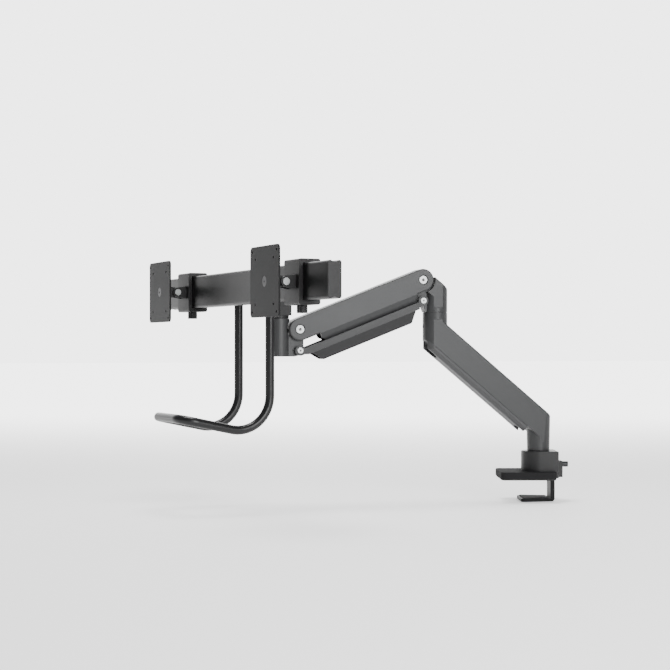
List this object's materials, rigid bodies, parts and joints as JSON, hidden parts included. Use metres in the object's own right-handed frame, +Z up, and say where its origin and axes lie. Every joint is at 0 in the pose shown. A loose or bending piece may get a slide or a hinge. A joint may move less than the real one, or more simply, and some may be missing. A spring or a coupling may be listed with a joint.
{
  "type": "dual monitor arm",
  "caption": "Desk-clamped monitor arm with a turning lower arm, a lifting parallel-link arm, a swivelling crossbar with two sliding VESA plates, and a bent tube handle.",
  "frame": {"origin": "on the desk top, on the axis of the clamp's post", "axes": "+Z up along the post; -Y the way the monitor plates face; +X along the crossbar, to the right seen from behind the monitors' backs looking along -Y"},
  "size_m": [0.762, 0.7706, 0.4575],
  "materials": {
    "arm_grey": "satin",
    "link_grey": "satin",
    "cover_grey": "satin",
    "clamp_black": "matte",
    "steel_black": "satin",
    "cast_black": "satin",
    "bar_black": "satin",
    "knob_black": "matte",
    "pad_rubber": "matte",
    "bright_steel": "satin",
    "dark_steel": "satin",
    "bearing_polymer": "satin"
  },
  "bodies": {
    "desk_clamp": {"base_plate": "steel_black", "base_cover": "clamp_black", "base_pad": "pad_rubber", "clamp_housing": "clamp_black", "swivel_post": "bright_steel", "post_bolt": "dark_steel", "housing_screws": "dark_steel", "post_washer": "bearing_polymer"},
    "jaw": {"jaw_bracket": "steel_black", "jaw_pad": "pad_rubber", "jaw_guide_block": "clamp_black"},
    "lock_screw": {"clamp_lock_screw": "dark_steel"},
    "lower_arm": {"lower_arm_body": "arm_grey", "lower_arm_cover": "cover_grey", "post_bushes": "bearing_polymer", "elbow_bushes": "bearing_polymer", "arm_set_screws": "dark_steel"},
    "knuckle": {"knuckle_body": "arm_grey", "elbow_spindle": "bright_steel", "elbow_washer": "bearing_polymer", "elbow_main_pin": "bright_steel", "elbow_link_pin": "bright_steel", "tension_screw": "dark_steel", "tension_block": "cast_black"},
    "spring_arm": {"spring_arm_shell": "arm_grey", "gas_cylinder": "dark_steel", "gas_pin": "bright_steel"},
    "gas_piston": {"gas_rod": "bright_steel"},
    "link": {"tie_link": "link_grey", "arm_cable_cover": "cover_grey"},
    "head_carrier": {"head_carrier_body": "arm_grey", "head_main_pin": "bright_steel", "head_link_pin": "bright_steel", "head_bushes": "bearing_polymer", "carrier_cap": "clamp_black"},
    "head_swivel": {"head_post": "cast_black", "head_washer": "bearing_polymer", "head_retaining_screw": "dark_steel", "tilt_bolt": "dark_steel"},
    "crossbar_set": {"tilt_block": "cast_black", "tilt_block_screws": "dark_steel", "crossbar": "bar_black", "crossbar_end_caps": "clamp_black", "handle": "steel_black", "handle_brackets": "cast_black", "handle_screws": "dark_steel", "handle_plugs": "clamp_black"},
    "left_carriage": {"left_slider": "cast_black", "left_tilt_pin": "bright_steel"},
    "left_knob": {"left_lock_knob": "knob_black"},
    "left_tilt": {"left_tilt_head": "cast_black", "left_centre_screw": "dark_steel"},
    "left_plate": {"left_vesa_plate": "steel_black"},
    "right_carriage": {"right_slider": "cast_black", "right_tilt_pin": "bright_steel"},
    "right_knob": {"right_lock_knob": "knob_black"},
    "right_tilt": {"right_tilt_head": "cast_black", "right_centre_screw": "dark_steel"},
    "right_plate": {"right_vesa_plate": "steel_black"}
  },
  "joints": [
    {"name": "jaw_slide", "type": "slide", "parent": "desk_clamp", "child": "jaw", "axis": [0, 0, 1], "range_m": [-0.0155, 0.0145]},
    {"name": "lock_screw_turn", "type": "hinge", "parent": "jaw", "child": "lock_screw", "pos_m": [0, 0, 0.027], "axis": [-0.4384, -0.8988, 0], "continuous": true},
    {"name": "base_swivel", "type": "hinge", "parent": "desk_clamp", "child": "lower_arm", "pos_m": [0, 0, 0.085], "axis": [0, 0, 1], "range_deg": [-104, 76]},
    {"name": "elbow_swivel", "type": "hinge", "parent": "lower_arm", "child": "knuckle", "pos_m": [-0.04304, -0.20248, 0.315], "axis": [0, 0, 1], "range_deg": [-135, 135]},
    {"name": "lift", "type": "hinge", "parent": "knuckle", "child": "spring_arm", "pos_m": [-0.04907, -0.23084, 0.3754], "axis": [-0.9781, 0.2079, 0], "range_deg": [-8.4, 60]},
    {"name": "link_swing", "type": "hinge", "parent": "knuckle", "child": "link", "pos_m": [-0.04907, -0.23084, 0.3367], "axis": [-0.9781, 0.2079, 0], "range_deg": [-8.4, 60]},
    {"name": "head_level", "type": "hinge", "parent": "spring_arm", "child": "head_carrier", "pos_m": [-0.09788, -0.46048, 0.28245], "axis": [-0.9781, 0.2079, 0], "range_deg": [-60, 8.4]},
    {"name": "gas_slide", "type": "slide", "parent": "spring_arm", "child": "gas_piston", "axis": [0.1933, 0.9095, 0.3681], "range_m": [-0.0023, 0.0159]},
    {"name": "head_swivel_turn", "type": "hinge", "parent": "head_carrier", "child": "head_swivel", "pos_m": [-0.10536, -0.49569, 0.303], "axis": [0, 0, 1], "range_deg": [-102, 78]},
    {"name": "crossbar_tilt", "type": "hinge", "parent": "head_swivel", "child": "crossbar_set", "pos_m": [-0.10536, -0.52569, 0.357], "axis": [1, 0, 0], "range_deg": [-15, 5]},
    {"name": "left_slide", "type": "slide", "parent": "crossbar_set", "child": "left_carriage", "axis": [1, 0, 0], "range_m": [-0.073, 0.107]},
    {"name": "left_knob_turn", "type": "hinge", "parent": "left_carriage", "child": "left_knob", "pos_m": [-0.36236, -0.56669, 0.311], "axis": [0, 0, 1], "continuous": true},
    {"name": "left_vesa_tilt", "type": "hinge", "parent": "left_carriage", "child": "left_tilt", "pos_m": [-0.36236, -0.60369, 0.357], "axis": [1, 0, 0], "range_deg": [-15, 15]},
    {"name": "left_vesa_turn", "type": "hinge", "parent": "left_tilt", "child": "left_plate", "pos_m": [-0.36236, -0.63269, 0.357], "axis": [0, 1, 0], "range_deg": [-90, 90]},
    {"name": "right_slide", "type": "slide", "parent": "crossbar_set", "child": "right_carriage", "axis": [1, 0, 0], "range_m": [-0.107, 0.073]},
    {"name": "right_knob_turn", "type": "hinge", "parent": "right_carriage", "child": "right_knob", "pos_m": [0.15164, -0.56669, 0.311], "axis": [0, 0, 1], "continuous": true},
    {"name": "right_vesa_tilt", "type": "hinge", "parent": "right_carriage", "child": "right_tilt", "pos_m": [0.15164, -0.60369, 0.357], "axis": [1, 0, 0], "range_deg": [-15, 15]},
    {"name": "right_vesa_turn", "type": "hinge", "parent": "right_tilt", "child": "right_plate", "pos_m": [0.15164, -0.63269, 0.357], "axis": [0, 1, 0], "range_deg": [-90, 90]}
  ],
  "couplings": [
    {"joint": "link_swing", "follows": "lift", "ratio": 1},
    {"joint": "head_level", "follows": "lift", "ratio": -1},
    {"joint": "gas_slide", "follows": "lift", "m_per_rad": 0.01507}
  ]
}
